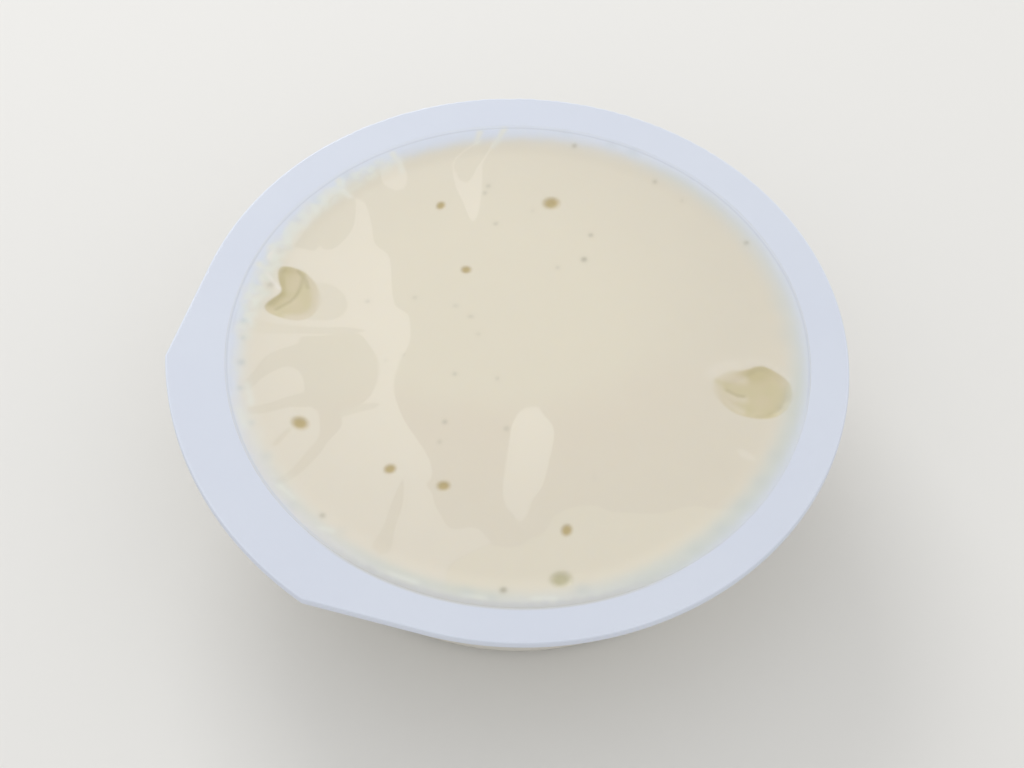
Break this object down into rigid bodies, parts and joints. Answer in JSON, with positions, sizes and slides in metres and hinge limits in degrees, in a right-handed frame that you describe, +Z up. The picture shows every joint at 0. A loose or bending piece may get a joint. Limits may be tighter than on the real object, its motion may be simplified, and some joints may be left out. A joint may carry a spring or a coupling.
{
  "type": "dessert mousse cup",
  "caption": "Shallow round white cup with a flat flange and an opening tab, filled to the brim with cream-coloured mousse under a clear sealed film.",
  "frame": {"origin": "middle of the cup's flat base, on the cup's axis", "axes": "+Z is up along the cup's axis, through the filling and the film; the opening tab points to 210 degrees from +X, turning towards +Y"},
  "size_m": [0.0865, 0.084, 0.0221],
  "materials": {
    "cup_plastic": "moulded white polypropylene with a soft shine",
    "mousse": "moist cream-coloured mousse",
    "clear_film": "clear glossy sealing film"
  },
  "bodies": {
    "root": {"cup": "cup_plastic", "mousse": "mousse", "lid_film": "clear_film"}
  },
  "joints": []
}
